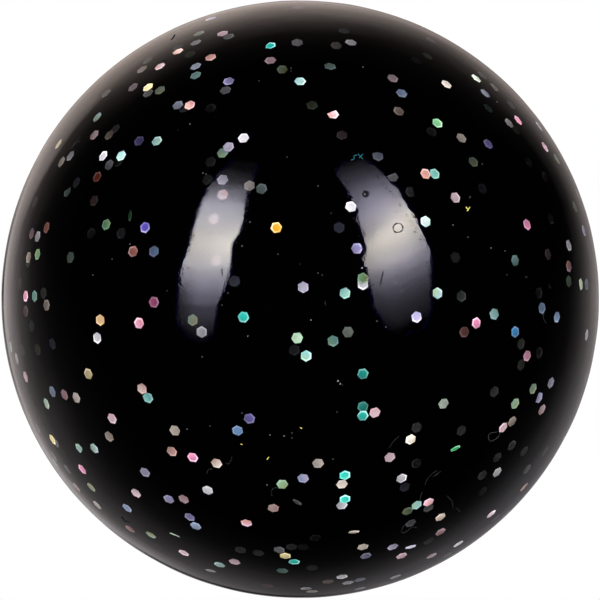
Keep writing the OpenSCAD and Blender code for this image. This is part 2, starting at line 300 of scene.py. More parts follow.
def softbox(name, outline, glow, rows=90, columns=28):
    """A glowing curved panel. glow(height, across) gives its colour, across from 0 inside to 1."""
    heights, inner, outer = (np.array(column, float) for column in zip(*outline))
    away = 1 if outer[3] > inner[3] else -1
    mesh = bmesh.new()
    light = mesh.loops.layers.float_color.new("light")
    grid, shades = [], {}
    for row in range(rows + 1):
        height = heights[0] + (heights[-1] - heights[0]) * row / rows
        ends = np.interp(height, heights, inner), np.interp(height, heights, outer)
        stops = [(ends[0] - away * fringe_width, (0, 0, 0)), (ends[0] - away * fringe_gap, fringe_colour)]
        for column in range(columns + 1):
            across = column / columns
            stops.append((ends[0] + (ends[1] - ends[0]) * across, glow(height, across)))
        stops += [(ends[1] + away * fringe_gap, fringe_colour), (ends[1] + away * fringe_width, (0, 0, 0))]
        line = []
        for degrees, shade in stops:
            turn, lift = math.radians(degrees), math.radians(height)
            point = Vector((math.sin(turn) * math.cos(lift), -math.cos(turn) * math.cos(lift),
                            math.sin(lift)))
            vertex = mesh.verts.new(point * softbox_distance)
            shades[vertex] = (*shade, 1)
            line.append(vertex)
        grid.append(line)
    for low, high in zip(grid, grid[1:]):
        for i in range(len(low) - 1):
            face = mesh.faces.new((low[i], low[i + 1], high[i + 1], high[i]))
            for loop in face.loops:
                loop[light] = shades[loop.vert]
    data = bpy.data.meshes.new(name)
    mesh.to_mesh(data)
    mesh.free()
    panel = bpy.data.objects.new(name, data)
    bpy.context.collection.objects.link(panel)
    panel.visible_camera = False
    return panel


# %% [markdown]
# The brightness is in units where 1 renders as white in plain view. A clear skin mirrors only about
# 4 % of what stands before it, so a softbox has to be some 14 times brighter than white to show as a
# pale patch on black.

# %% Light the softboxes
softbox_gain = 14.0
cloth, warm_cloth, lilac_cloth = ink("#f2f0fb"), ink("#fff6e8"), ink("#dcd8f4")


def between(value, points):
    """The value of a curve given as (place, value) points."""
    return float(np.interp(value, *zip(*points)))


def mix(first, second, share):
    return tuple(a + (b - a) * share for a, b in zip(first, second))


# %% Shade the left softbox
def left_glow(height, across):
    level = between(height, ((-15.5, 0.0), (-13, 0.012), (-10.7, 0.026), (-6, 0.07), (-2.6, 0.095),
                             (-1.8, 0.16), (1.4, 0.24), (5.1, 0.42), (8.8, 0.60), (12.5, 0.82), (16, 0.90),
                             (19, 1.0), (21, 1.04), (23.6, 0.94), (28, 0.85), (33, 0.82), (35.5, 0.72),
                             (38.5, 0.40), (40.3, 0.285), (42.2, 0.165), (44, 0.067), (47.7, 0.023),
                             (50, 0.005)))
    hot = math.exp(-((height - 20) / 8) ** 2)
    level *= 1 + hot * (0.26 - 0.42 * across) - 0.12 * (1 - hot) * (1 - across)
    low = between(height, ((3, 1), (13, 0)))
    level *= (1 + 0.22 * low) * (1 - 0.8 * low * between(across, ((0.5, 0), (1, 1))))
    high = between(height, ((28, 0), (38, 1)))
    level *= 1 - 0.35 * high * abs(2 * across - 1) ** 3
    cool_cloth = mix(cloth, lilac_cloth, max(low, 0.5 * high))
    return tuple(level * part for part in mix(cool_cloth, warm_cloth, 0.65 * hot))


# %% Shade the right softbox
def right_glow(height, across):
    ridge = 18.2 + 11 * across
    above = between(height, ((18, 0.92), (23, 0.98), (27, 0.96), (31, 0.90), (34.8, 0.725), (38.5, 0.48),
                             (42.2, 0.25), (45.9, 0.115), (49.5, 0.04), (53, 0.006)))
    above *= between(across, ((0, 0.5), (0.2, 0.7), (0.4, 0.84), (0.65, 1.02), (1, 0.98)))
    sunk = height - between(across, ((0.35, 0), (0.65, 2.3), (0.9, 4.7), (1, 5.2)))
    below = between(sunk, ((-12, 0), (-7.8, 0.02), (-4.1, 0.035), (-0.5, 0.065), (3.2, 0.12), (5.1, 0.185),
                           (6.9, 0.24), (8.8, 0.335), (10.6, 0.43), (12.5, 0.56), (14.3, 0.66),
                           (16.2, 0.68), (18, 0.76), (22, 0.98), (27, 1.15)))
    below *= 1 + 0.2 * between(across, ((0.05, 0), (0.25, 1), (0.7, 1), (0.95, 0)))
    over = max(0.0, min(1.0, (height - ridge) / 5.5))
    hot = 0.85 * math.exp(-((height - ridge) / (9 if height > ridge else 11)) ** 2)
    return tuple((below + (above - below) * over) * part for part in mix(lilac_cloth, warm_cloth, hot))


# %% Set up the softboxes
softbox_finish, start = new_finish("softbox cloth")
glow = start.node("ShaderNodeAttribute", {"attribute_name": "light"}, out="Color")
give_surface(start, start.node("ShaderNodeEmission", None, {"Color": glow, "Strength": softbox_gain}))
for name, outline, glow_rule in (("left_softbox", left_outline, left_glow),
                                 ("right_softbox", right_outline, right_glow)):
    softbox(name, outline, glow_rule).data.materials.append(softbox_finish)
print("softboxes stand", softbox_distance, "m from the ball")

# %% [markdown]
# ## The floor
# A pale table top under the ball. To the camera it is as white as the sweep, but it keeps the soft
# shadow of the ball. It is left out of mirror images, as if the ball stood on a narrow stand: in the
# photograph the lower half of the ball mirrors darkness, and a table would turn it grey.

# %% Lay the floor
floor_radius = 0.5
floor_glow = 0.7
floor_bounce = 0.4
floor_mesh = bmesh.new()
bmesh.ops.create_circle(floor_mesh, cap_ends=True, radius=floor_radius, segments=96,
                        matrix=Matrix.Translation((0, 0, -ball_radius)))
floor_data = bpy.data.meshes.new("floor")
floor_mesh.to_mesh(floor_data)
floor_mesh.free()
floor = bpy.data.objects.new("floor", floor_data)
bpy.context.collection.objects.link(floor)
floor.visible_glossy = False

floor_finish, start = new_finish("pale table top")
path = start.node("ShaderNodeLightPath", out="Is Camera Ray")
board = start.node("ShaderNodeBsdfPrincipled", None, {
    "Base Color": (0.8, 0.8, 0.8, 1), "Roughness": 0.9, "Specular IOR Level": 0.0,
    "Emission Color": path.tint((*grey(floor_bounce), 1), (1, 1, 1, 1)),
    "Emission Strength": floor_glow})
give_surface(start, board)
floor_data.materials.append(floor_finish)

# %% [markdown]
# ## A lamp from behind
# The softboxes light only the front. A broad soft lamp high behind the ball keeps the flakes of its rear
# at the same plain level, so the ball looks right from every side. It is kept out of mirror images,
# because the photograph shows no such patch.

# %% Hang the rear lamp
rear_lamp_size = 0.7
rear_lamp_watts = 5.0
rear_lamp_place = Vector((0, 0.85, 0.85))
lamp_data = bpy.data.lights.new("rear_lamp", "AREA")
lamp_data.size = rear_lamp_size
lamp_data.energy = rear_lamp_watts
lamp = bpy.data.objects.new("rear_lamp", lamp_data)
lamp.location = rear_lamp_place
lamp.rotation_euler = rear_lamp_place.to_track_quat("Z", "Y").to_euler()
lamp.visible_glossy = lamp.visible_transmission = lamp.visible_camera = False
bpy.context.collection.objects.link(lamp)

# %% [markdown]
# ## The rubber core
# The core is a plain ball of black rubber, and the skin is cured on to it, so there is no shine where
# they meet. The CAD node has the right shape already and only needs its finish: nearly black, very
# rough, with the faint cloudiness of carbon mixed into rubber.

# %% Finish the core
rubber, start = new_finish("black rubber core")
place = start.node("ShaderNodeTexCoord", out="Object")
cloud = start.node("ShaderNodeTexNoise", None, {"Vector": place, "Scale": 260.0, "Detail": 4.0})
grain = start.node("ShaderNodeTexNoise", None, {"Vector": place, "Scale": 5200.0, "Detail": 2.0})
soot = cloud.tint((0.0001, 0.0001, 0.00015, 1), (0.0004, 0.0004, 0.0005, 1))
core_bump = start.node("ShaderNodeBump", None, {"Height": grain, "Strength": 0.3, "Distance": 0.02 * MM})
body = start.node("ShaderNodeBsdfPrincipled", None, {
    "Base Color": soot, "Roughness": 0.75 + 0.15 * grain, "Specular IOR Level": 0.0,
    "Normal": core_bump})
give_surface(start, body)
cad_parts["core"].material_slots[0].material = rubber

# %% [markdown]
# ## Finding the flakes
# Each glitter node of the CAD model is one mesh with dozens of small hexagonal prisms. To dress them,
# each prism has to be found again: welding the mesh joins its corners, and walking along the edges
# collects the twelve points of one flake. Their mean is its middle, the shortest way through them is
# its normal, and one of its corners says how far it is turned. The points are sorted first, so that it is
# the same corner in every run.

# %% Read the flakes of one colour
weld = 0.001 * MM


def find_flakes(node):
    """The flakes of a glitter node as (middle, outward normal, way to a corner)."""
    mesh = bmesh.new()
    mesh.from_mesh(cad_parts[node].data)
    bmesh.ops.remove_doubles(mesh, verts=mesh.verts, dist=weld)
    found, left = [], set(mesh.verts)
    while left:
        island, edge = set(), [left.pop()]
        while edge:
            vertex = edge.pop()
            island.add(vertex)
            for other in (e.other_vert(vertex) for e in vertex.link_edges):
                if other not in island:
                    edge.append(other)
        left -= island
        points = np.array(sorted(v.co[:] for v in island))
        middle = points.mean(0)
        normal = Vector(np.linalg.svd(points - middle)[2][2])
        middle = Vector(middle)
        if normal.dot(middle) < 0:
            normal = -normal
        corner = Vector(points[0]) - middle
        corner -= normal * corner.dot(normal)
        found.append((middle, normal, corner.normalized()))
    mesh.free()
    return sorted(found, key=lambda flake: tuple(round(c, 7) for c in flake[0]))


# %% [markdown]
# ## Flakes of foil
# The flakes are punched from metallised film. A real one is a flat hexagon with slightly rolled edges:
# the punch leaves a lip that catches the light, so many flakes show a pale line along some sides, here a
# painted highlight. The film splits light a little, so a flake often changes hue from side to side.
# Flakes that lie deep, next to the core, look dark, and flakes close to the surface look bright; here that
# is painted shade and painted highlight in each flake's colour. A plain prism shows none of that, so each
# flake is rebuilt as a bevelled plate with its own lip, and its colours are stored in a colour attribute
# of its vertices.

# %% Read how deep a flake lies
flake_point = 0.83 * MM / math.cos(math.radians(30))
flake_thickness = 0.05 * MM
bed = 0.1 * MM
layer = 1.1 * MM
dome = (flake_point / 2) ** 2 / (2 * core_radius)


def rise_of(middle, normal):
    """Where a flake lies between the core, 0, and the top of the glitter layer, 1."""
    lean = math.acos(min(1, normal.dot(middle.normalized())))
    half = (flake_point * math.sin(lean) + flake_thickness * math.cos(lean)) / 2
    room_left = layer - bed - dome - 2 * half
    return (middle.length - skin_inner_radius - bed - half) / room_left


# Painted shade and highlight: how bright a flake's colour is painted, by how deep it lies.
painted_levels_by_rise = ((0, 0.003), (0.1, 0.02), (0.2, 0.065), (0.3, 0.105), (0.4, 0.165), (0.5, 0.23),
                  (0.6, 0.31), (0.7, 0.40), (0.8, 0.51), (0.9, 0.66), (1, 1.0))


def brightness(rise):
    """The painted brightness, from painted shade to painted highlight, of a flake that lies at this rise.
    """
    return between(rise, painted_levels_by_rise)


# %% [markdown]
# Each colour of film has its plain ink, the ink that it turns to at a slant, and a vivid ink. Most
# flakes are pale. A few catch the light so that they show the vivid ink, a painted glint in their colour,
# and on the front those are picked by where the photograph shows them. The skin bends light like a lens,
# so a flake is seen further out than it lies: `seen_at` follows the ray through the skin to find its
# pixel. A few flakes catch more or less light than their depth lets others catch, and their painted
# brightness is listed in the same way.

# %% Choose the film colours
films = {
    "silver": ("#f4f7fc", "#e2e7f6", "#d8e2ff"),
    "champagne": ("#fff0d4", "#ffd2b8", "#ffd9a0"),
    "gold": ("#ffe98a", "#fff6b4", "#ff9d14"),
    "copper": ("#ffcbb4", "#f09aa8", "#d8583c"),
    "pink": ("#ffcade", "#ffb096", "#f070b8"),
    "violet": ("#d2c9ff", "#a0c8ff", "#6c5ee0"),
    "blue": ("#b2d5ff", "#a49cf0", "#3aa2e2"),
    "aqua": ("#a4f5f1", "#c8f49a", "#1ccab8"),
    "green": ("#b6f3c2", "#ecec84", "#10b464"),
}
# Painted glint: flakes that show their vivid ink, by how strongly they show it.
painted_glint_px = {
    1.0: ((277, 227), (272, 45), (294, 560), (455, 448), (362, 373), (245, 316), (514, 330), (97, 179),
          (130, 215), (155, 302), (267, 585), (363, 407), (363, 415), (345, 475), (345, 499), (146, 226)),
    0.7: ((487, 144), (107, 225), (476, 323), (526, 223), (135, 249), (44, 226), (138, 143),
          (437, 122), (434, 173), (82, 469), (465, 331), (239, 432), (251, 416), (192, 457)),
    0.45: ((189, 516), (543, 308), (557, 318), (404, 94), (153, 253), (210, 56), (427, 172), (346, 294),
           (342, 477), (306, 355), (35, 257), (24, 297), (529, 356), (519, 121), (330, 341), (100, 319),
           (281, 485), (172, 452), (358, 247), (148, 397), (139, 322), (34, 296), (363, 277), (229, 81)),
}
vivid_near_px = 6
pale_px = ((221, 179), (221, 193), (212, 217), (410, 440), (102, 155), (398, 478), (476, 78))
# Painted shade and highlight: flakes whose colour is painted darker or brighter than their depth gives.
painted_catch_px = {
    0.003: ((529, 162), (303, 547), (539, 293), (399, 227), (392, 227), (118, 161), (417, 463), (539, 353),
            (551, 219), (417, 60)),
    0.02: ((342, 135), (548, 254), (258, 552), (344, 30), (291, 547), (43, 293), (339, 227), (35, 202),
           (28, 261), (76, 183), (427, 56)),
    0.08: ((393, 176), (464, 332), (225, 90), (109, 135), (378, 154), (109, 165)),
    0.15: ((249, 185), (154, 251), (160, 90), (407, 511), (276, 586), (279, 550), (214, 219), (217, 260)),
    0.25: ((363, 278), (94, 135), (52, 391), (109, 436), (61, 161), (223, 153), (178, 105), (351, 43),
           (270, 60), (402, 93), (551, 383), (533, 389), (223, 195)),
    0.4: ((190, 517), (557, 317), (91, 487), (97, 117), (34, 296), (497, 472), (76, 398), (229, 81),
          (527, 356), (539, 398), (485, 93), (196, 66), (303, 287)),
    0.55: ((142, 388), (79, 448), (46, 403), (148, 397), (363, 284), (437, 293), (345, 293), (112, 418)),
    0.7: ((363, 415), (342, 576), (581, 284), (342, 505), (434, 173), (416, 505), (375, 412), (503, 428),
          (417, 317), (244, 317), (354, 532), (139, 323), (351, 207), (426, 222)),
    0.8: ((243, 138), (190, 105), (342, 484), (476, 323), (306, 356), (300, 81)),
    1.0: ((294, 561), (82, 469), (175, 535), (160, 66), (410, 440)),
    1.4: ((345, 499), (345, 475), (410, 547), (455, 448), (148, 87), (476, 78), (178, 51), (518, 120)),
}
caught_near_px = 3

# %% Find where a flake shows
skin_index = 1.52


def seen_at(middle):
    """The pixel at which the camera sees a point of the front through the clear skin."""
    deep = math.acos(max(-1, min(1, -middle.y / middle.length)))
    low, high = 0.0, 1.0
    for _ in range(40):
        share = (low + high) / 2
        met = math.asin(share) - math.asin(share / skin_index) + math.asin(
            min(1, share * ball_radius / (skin_index * middle.length)))
        low, high = (share, high) if met < deep else (low, share)
    aside = max(1e-9, math.hypot(middle.x, middle.z))
    reach = share * outline_px / aside
    return middle_px[0] + reach * middle.x, middle_px[1] - reach * middle.z


# %% Choose how a flake shows
def how_it_shows(middle, rise, chance):
    """How bright a flake is painted, how strongly it shows its vivid ink as a painted glint, and how pale
    it is.
    """
    level = brightness(rise)
    pale = 0.15 + 0.55 * chance.random()
    if middle.y > 0:
        return level, chance.choice((0, 0, 0, 0, 0, 0, 0.3, 0.6, 1.0)), pale
    seen = seen_at(middle)
    if any(math.dist(seen, place) < vivid_near_px for place in pale_px):
        pale = 0.8
    # The painted brightness of a listed flake replaces the one from its depth.
    for caught, places in painted_catch_px.items():
        if any(math.dist(seen, place) < caught_near_px for place in places):
            level = caught
    strengths = [strength for strength, places in painted_glint_px.items()
                 if any(math.dist(seen, place) < vivid_near_px for place in places)]
    return level, max(strengths, default=0.0), pale


# %% [markdown]
# The rings of a flake run from its middle out over the lip and down the bevel. Its tint is mixed per
# vertex: one hue towards one side, the other hue towards the opposite side, a painted shade that makes one
# side of the flake darker than the other, and a painted highlight, a pale line on the lip where it faces
# the light. Now and then a corner is torn off.

# %% Build a flake
rings = ((0.66, 0.5), (0.74, 0.5), (0.90, 0.5), (0.965, 0.5), (0.995, 0.25), (0.995, -0.25), (0.955, -0.5))
lip_start = 0.73
torn_share = 0.05


def add_flake(mesh, tint, flake, inks, chance):
    """Adds one bevelled plate to a mesh, with its colours."""
    middle, normal, corner = flake
    side = normal.cross(corner)
    level, strength, pale = how_it_shows(middle, rise_of(middle, normal), chance)
    plain, slant, vivid = inks
    film = mix(mix(plain, (1, 1, 1), pale), vivid, strength)
    second = mix(mix(slant, (1, 1, 1), 0.3 * pale), vivid, 0.75 * strength)
    split = chance.random() ** 1.4 * (1 - 0.5 * strength)
    split_way = chance.uniform(0, 2 * math.pi)
    painted_shade_way, painted_shade_slope = chance.uniform(0, 2 * math.pi), chance.uniform(0.05, 0.4)
    painted_lip_light_way = chance.uniform(0, 2 * math.pi)
    painted_lip_share = chance.choice((0.35, 0.6, 1.0))
    painted_lip_highlight = 0.03 * chance.random() ** 2 + 0.45 * level
    torn = chance.random() < torn_share
    torn_corner, torn_depth = chance.randrange(6), chance.uniform(0.25, 0.55)
    curl = chance.uniform(-0.006, 0.006) * MM

    def point(share, height, number):
        turn = math.radians(60 * number)
        reach = flake_point / 2 * share
        if torn and number % 6 == torn_corner:
            reach *= 1 - torn_depth
        across = Vector((reach * math.cos(turn), reach * math.sin(turn)))
        bow = curl * ((across.x / flake_point * 2) ** 2 - 0.5)
        place = middle + corner * across.x + side * across.y + normal * (height * flake_thickness + bow)
        toward, slant_to = ((across.x * math.cos(w) + across.y * math.sin(w)) / flake_point * 2
                            for w in (split_way, painted_shade_way))
        hue = mix(film, second, max(0.0, min(1.0, split * (0.4 + 1.4 * toward))))
        if share > lip_start:
            hue = mix(hue, plain, 0.35)
        # Painted shade: the level paints the flake darker or brighter by its depth, and the slope paints
        # one side lighter than the other.
        shade = [level * 0.92 * (1 + painted_shade_slope * slant_to) * part for part in hue]
        # Painted highlight: a pale line on the lip, on the side that faces the light.
        if share > lip_start:
            facing = max(0.0, math.cos(turn - painted_lip_light_way) + 0.7) / 1.7
            lift = painted_lip_share * facing
            shade = [part * (1 + 0.35 * lift) + painted_lip_highlight * lift for part in shade]
        vertex = mesh.verts.new(place)
        vertex[tint] = (*shade, 1)
        return vertex

    loops = [[point(share, height, number) for number in range(6)] for share, height in rings]
    top = point(0.0, 0.5, 0)
    for i in range(6):
        j = (i + 1) % 6
        mesh.faces.new((top, loops[0][i], loops[0][j]))
        for inner, outer in zip(loops, loops[1:]):
            mesh.faces.new((inner[i], outer[i], outer[j], inner[j]))
    mesh.faces.new(list(reversed(loops[-1])))


# %% [markdown]
# The finish of the film: part metal, part print. Its colour comes from the attribute, which also
# holds each flake's painted shade and painted highlights, broken up by the fine grain of the embossing,
# and the same grain dents the surface a little so that the foil sparkles unevenly.

# %% Finish the foil
def foil_finish(name, grain_scale):
    finish, start = new_finish(name)
    place = start.node("ShaderNodeTexCoord", out="Object")
    tint = start.node("ShaderNodeAttribute", {"attribute_name": "tint"}, out="Color")
    grain = start.node("ShaderNodeTexNoise", None, {"Vector": place, "Scale": grain_scale,
                                                    "Detail": 3.0, "Roughness": 0.6})
    cloud = start.node("ShaderNodeTexNoise", None, {"Vector": place, "Scale": grain_scale / 9})
    speckle = 0.78 + 0.30 * grain + 0.14 * cloud
    film = tint.node("ShaderNodeVectorMath", {"operation": "SCALE"}, {0: tint, "Scale": speckle})
    dents = start.node("ShaderNodeBump", None, {"Height": grain, "Strength": 0.5,
                                                "Distance": 0.01 * MM})
    body = start.node("ShaderNodeBsdfPrincipled", None, {
        "Base Color": film, "Metallic": 0.25, "Roughness": 0.38 + 0.25 * grain,
        "Specular IOR Level": 0.1, "Normal": dents})
    give_surface(start, body)
    return finish


# %% Make the flakes
flake_total = 0
for number, (colour, hues) in enumerate(films.items()):
    chance = random.Random(100 + number)
    mesh = bmesh.new()
    tint = mesh.verts.layers.float_color.new("tint")
    flakes = find_flakes(f"{colour}_glitter")
    for flake in flakes:
        add_flake(mesh, tint, flake, [ink(code) for code in hues], chance)
    bmesh.ops.recalc_face_normals(mesh, faces=mesh.faces)
    data = bpy.data.meshes.new(f"{colour}_flakes")
    mesh.to_mesh(data)
    mesh.free()
    piece = bpy.data.objects.new(f"{colour}_flakes", data)
    bpy.context.collection.objects.link(piece)
    data.materials.append(foil_finish(f"{colour} foil", 9000.0))
    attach(piece, "root")
    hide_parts(f"{colour}_glitter")
    flake_total += len(flakes)
    print(f"{colour}: {len(flakes)} flakes")
print("flakes in all:", flake_total)

# %% [markdown]
# ## The clear skin
# The skin is a thick coat of clear rubber with a high gloss. It is built as a sphere made from a cube,
# because a cube's grid gives even squares everywhere and no poles. Where the two mould halves meet, a
# fine line of flash runs round the ball, so extra edge loops are cut there and lifted by a few
# hundredths of a millimetre.

# %% Measure the skin
skin_cuts = 95
seam_half = 0.12 * MM
seam_height = 0.03 * MM


def on_skin(x, y, height=0.0):
    """The point of the front surface that a pixel shows, raised by height."""
    aside, above = (x - middle_px[0]) * metres_per_px, (middle_px[1] - y) * metres_per_px
    depth = math.sqrt(max(0, ball_radius ** 2 - aside ** 2 - above ** 2))
    return Vector((aside, -depth, above)).normalized() * (ball_radius + height)


dent_px = ((241, 247, 0.55 * MM, 0.006 * MM), (357, 228, 0.9 * MM, 0.006 * MM),
           (183, 262, 1.2 * MM, 0.005 * MM), (427, 265, 1.2 * MM, 0.004 * MM))
dents = [(on_skin(x, y).normalized(), width, depth) for x, y, width, depth in dent_px]

# %% Cut and lift the skin
mesh = bmesh.new()
bmesh.ops.create_cube(mesh, size=2)
bmesh.ops.subdivide_edges(mesh, edges=mesh.edges, cuts=skin_cuts, use_grid_fill=True)
for vertex in mesh.verts:
    even = Vector([math.tan(c * math.pi / 4) for c in vertex.co])
    vertex.co = even.normalized() * ball_radius
for offset in (-1, -0.5, 0.5, 1):
    bmesh.ops.bisect_plane(mesh, geom=mesh.verts[:] + mesh.edges[:] + mesh.faces[:], dist=1e-9,
                           plane_co=(0, offset * seam_half, 0), plane_no=(0, 1, 0))
for vertex in mesh.verts:
    outward = vertex.co.normalized()
    near = max(0.0, 1 - abs(vertex.co.y) / seam_half)
    worn = 0.65 + 0.5 * noise.noise(outward * 9)
    dent = sum(depth * math.exp(-((outward - place).length * ball_radius / width) ** 2)
               for place, width, depth in dents)
    vertex.co = outward * (ball_radius + seam_height * near * worn - dent)
for face in mesh.faces:
    face.smooth = True
skin_data = bpy.data.meshes.new("clear_skin")
mesh.to_mesh(skin_data)
mesh.free()
skin = bpy.data.objects.new("clear_skin", skin_data)
bpy.context.collection.objects.link(skin)
print("skin faces:", len(skin_data.polygons))

# %% [markdown]
# Clear rubber bends light like glass. Its surface isn't perfect: long soft waves from the mould, an
# orange peel that makes the edges of the mirrored softboxes ragged, a few pits and scratches, and
# smudges that dull the gloss. Heights are in millimetres. The skin lets lamp light through to the
# flakes, as clear rubber does: without that, the shader would treat it as a shutter.

# %% Finish the skin
clear, start = new_finish("clear rubber skin")
place = start.node("ShaderNodeTexCoord", out="Object")


def noise_height(scale, detail, height):
    field = start.node("ShaderNodeTexNoise", None, {"Vector": place, "Scale": scale, "Detail": detail})
    return (field - 0.5) * height


waves = noise_height(420.0, 1.0, 0.012)
peel = noise_height(3600.0, 2.0, 0.0030)
pit_field = start.node("ShaderNodeTexVoronoi", None, {"Vector": place, "Scale": 900.0}, "Distance")
pit_pick = start.node("ShaderNodeTexVoronoi", None, {"Vector": place, "Scale": 900.0}, "Color")
pitted = pit_pick.node("ShaderNodeSeparateColor", None, {0: pit_pick}, "Red")
pit_depth = 0.006
pit = (1 - (pit_field * 7.0).ramp((0, grey(0)), (1, grey(1)))) * pitted.ramp(
    (0, grey(0)), (0.93, grey(0)), (0.94, grey(1)))
height = waves + peel - pit * pit_depth
bump = start.node("ShaderNodeBump", None, {"Height": height, "Strength": 1.0, "Distance": MM})
smear = start.node("ShaderNodeTexNoise", None, {"Vector": place, "Scale": 160.0, "Detail": 5.0,
                                                "Roughness": 0.65})
body = start.node("ShaderNodeBsdfPrincipled", None, {
    "Base Color": (0.98, 0.985, 0.99, 1), "Transmission Weight": 1.0, "IOR": skin_index,
    "Roughness": smear.ramp((0.3, grey(0.002)), (0.75, grey(0.02))), "Normal": bump})
give_surface(start, body)
skin_data.materials.append(clear)
skin.visible_shadow = False
skin.visible_diffuse = False
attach(skin, "root")
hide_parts("front_skin", "rear_skin")

# %% [markdown]
# ## Dust, lint and scuffs
# A rubber ball picks up dust at once, and a close photograph shows it: pale specks and short fibres on
# the black, dark nicks in the bright mirror images. They are real pieces here, tiny chips and threads
# that lie on the skin, because painted specks would not stand up to a look from the side.

# %% Link a piece
def new_piece(name, mesh, finish):
    """Links a mesh as a piece of the ball."""
    data = bpy.data.meshes.new(name)
    bmesh.ops.recalc_face_normals(mesh, faces=mesh.faces)
    mesh.to_mesh(data)
    mesh.free()
    data.materials.append(finish)
    piece = bpy.data.objects.new(name, data)
    bpy.context.collection.objects.link(piece)
    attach(piece, "root")
    return piece


# %% Add a chip
def add_chip(mesh, place, size, chance):
    """Adds a small uneven grain, sunk a little into the surface."""
    outward = place.normalized()
    side = outward.orthogonal().normalized()
    other = outward.cross(side)
    stretch = chance.uniform(1.0, 1.7)
    turn = chance.uniform(0, math.pi)
    points = []
    for height, reach in ((-0.25, 0.8), (0.35, 0.75)):
        for i in range(5):
            angle = turn + 2 * math.pi * i / 5
            far = reach * chance.uniform(0.75, 1.1)
            points.append(mesh.verts.new(
                place + side * (size * far * math.cos(angle) * stretch)
                + other * (size * far * math.sin(angle)) + outward * (size * height)))
    base, top = points[:5], points[5:]
    for i in range(5):
        j = (i + 1) % 5
        mesh.faces.new((base[i], base[j], top[j], top[i]))
    mesh.faces.new(list(reversed(base)))
    mesh.faces.new(top)


# %% Add a thread
def add_thread(mesh, line, radius, sides=5):
    """Adds a closed tube along points on the skin."""
    hoops = []
    for i, place in enumerate(line):
        along = (line[min(i + 1, len(line) - 1)] - line[max(i - 1, 0)]).normalized()
        outward = place.normalized()
        side = along.cross(outward).normalized()
        up_way = side.cross(along)
        hoops.append([mesh.verts.new(place + side * (radius * math.cos(2 * math.pi * k / sides))
                                     + up_way * (radius * math.sin(2 * math.pi * k / sides)))
                      for k in range(sides)])
    for low, high in zip(hoops, hoops[1:]):
        for k in range(sides):
            mesh.faces.new((low[k], low[(k + 1) % sides], high[(k + 1) % sides], high[k]))
    mesh.faces.new(list(reversed(hoops[0])))
    mesh.faces.new(hoops[-1])


# %% Draw a line on the skin
def curve_through(points, steps=8):
    """A smooth line on the skin through pixels of the photograph."""
    ends = [points[0], *points, points[-1]]
    line = []
    for a, b, c, d in zip(ends, ends[1:], ends[2:], ends[3:]):
        for k in range(steps):
            t = k / steps
            line.append(tuple(0.5 * (2 * q + (r - p) * t + (2 * p - 5 * q + 4 * r - u) * t ** 2
                                     + (3 * q - p - 3 * r + u) * t ** 3)
                              for p, q, r, u in zip(a, b, c, d)))
    return [on_skin(*place) for place in line + [points[-1]]]


# %% Finish the dust
def dust_finish(name, low, high, scale=9000.0):
    finish, start = new_finish(name)
    place = start.node("ShaderNodeTexCoord", out="Object")
    fleck = start.node("ShaderNodeTexNoise", None, {"Vector": place, "Scale": scale, "Detail": 2.0})
    body = start.node("ShaderNodeBsdfPrincipled", None, {
        "Base Color": fleck.tint((*low, 1), (*high, 1)), "Roughness": 0.7 + 0.3 * fleck,
        "Specular IOR Level": 0.1})
    give_surface(start, body)
    return finish


pale_dust = dust_finish("pale dust", ink("#8f9296"), ink("#e6e9ee"))
grey_lint = dust_finish("grey lint", ink("#3a3d42"), ink("#6a6e74"))
yellow_scrap = dust_finish("yellow scraps", ink("#c8c040"), ink("#e8e884"))
teal_lint = dust_finish("teal lint", ink("#1e5c66"), ink("#3c929c"))
# A dark finish for the nicks and scratches, and for the painted shade of the rings and the frayed edges.
nick_and_painted_shade_finish = dust_finish("dark nicks and painted shade", ink("#121214"), ink("#242428"))

# %% Scatter the specks
speck_px = ((190, 124, 0.8), (178, 130, 0.5), (203, 173, 0.7), (206, 174, 0.5), (130, 244, 0.6),
            (93, 275, 0.5), (167, 291, 0.5), (112, 259, 0.4), (192, 273, 0.5), (188, 291, 0.6),
            (242, 246, 1.0), (318, 186, 0.6), (331, 213, 0.5), (250, 222, 0.5), (278, 254, 0.5),
            (300, 264, 0.5), (318, 273, 0.6), (322, 275, 0.5), (291, 68, 0.5), (291, 71, 0.4),
            (259, 81, 0.5), (363, 67, 0.6), (287, 157, 0.4), (362, 268, 1.2), (396, 283, 0.8),
            (400, 285, 0.6), (384, 287, 0.6), (402, 291, 0.7), (248, 336, 0.7), (311, 320, 0.8),
            (202, 357, 0.6), (242, 322, 0.6), (222, 305, 0.6), (228, 293, 0.5), (210, 426, 0.7),
            (187, 429, 0.6), (242, 413, 0.6), (270, 435, 0.6), (284, 436, 0.9), (292, 433, 0.5),
            (292, 438, 0.5), (267, 485, 0.7), (337, 412, 0.6), (333, 459, 0.5), (497, 102, 0.7),
            (468, 237, 0.8), (491, 248, 0.6), (505, 251, 0.7), (470, 197, 0.6), (453, 225, 0.6),
            (482, 164, 0.6), (507, 275, 0.6), (526, 277, 0.5), (338, 381, 1.0), (340, 384, 0.8),
            (389, 263, 0.4), (377, 321, 0.7), (386, 327, 0.6))
speck_size = 0.055 * MM
rear_specks, finest, coarsest = 150, 0.02, 0.05
chance = random.Random(7)
mesh = bmesh.new()
for x, y, size in speck_px:
    add_chip(mesh, on_skin(x, y), speck_size * size, chance)
for _ in range(rear_specks):
    way_out = Vector((chance.gauss(0, 1), abs(chance.gauss(0, 1)), chance.gauss(0, 1))).normalized()
    add_chip(mesh, way_out * ball_radius, chance.uniform(finest, coarsest) * MM, chance)
new_piece("dust_specks", mesh, pale_dust)

